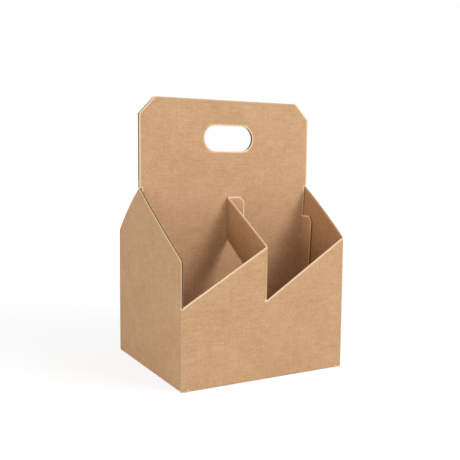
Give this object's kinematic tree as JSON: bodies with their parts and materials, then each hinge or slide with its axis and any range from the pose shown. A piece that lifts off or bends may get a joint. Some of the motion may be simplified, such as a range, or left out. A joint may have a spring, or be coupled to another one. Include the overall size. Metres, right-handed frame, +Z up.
{
  "type": "cardboard bottle carrier",
  "caption": "Open-topped kraft board carrier with bottle cells, saw-tooth front and back, peaked sides and a central handle panel with a hand slot.",
  "frame": {"origin": "middle of the footprint, on the ground", "axes": "+Z up, +X along the front, which faces -Y; the handle panel stands in the XZ plane"},
  "size_m": [0.197, 0.162, 0.271],
  "materials": {
    "kraft_board": "matt brown kraft liner over fluted board"
  },
  "bodies": {
    "root": {"carrier_body": "kraft_board", "handle_panel": "kraft_board"}
  },
  "joints": []
}
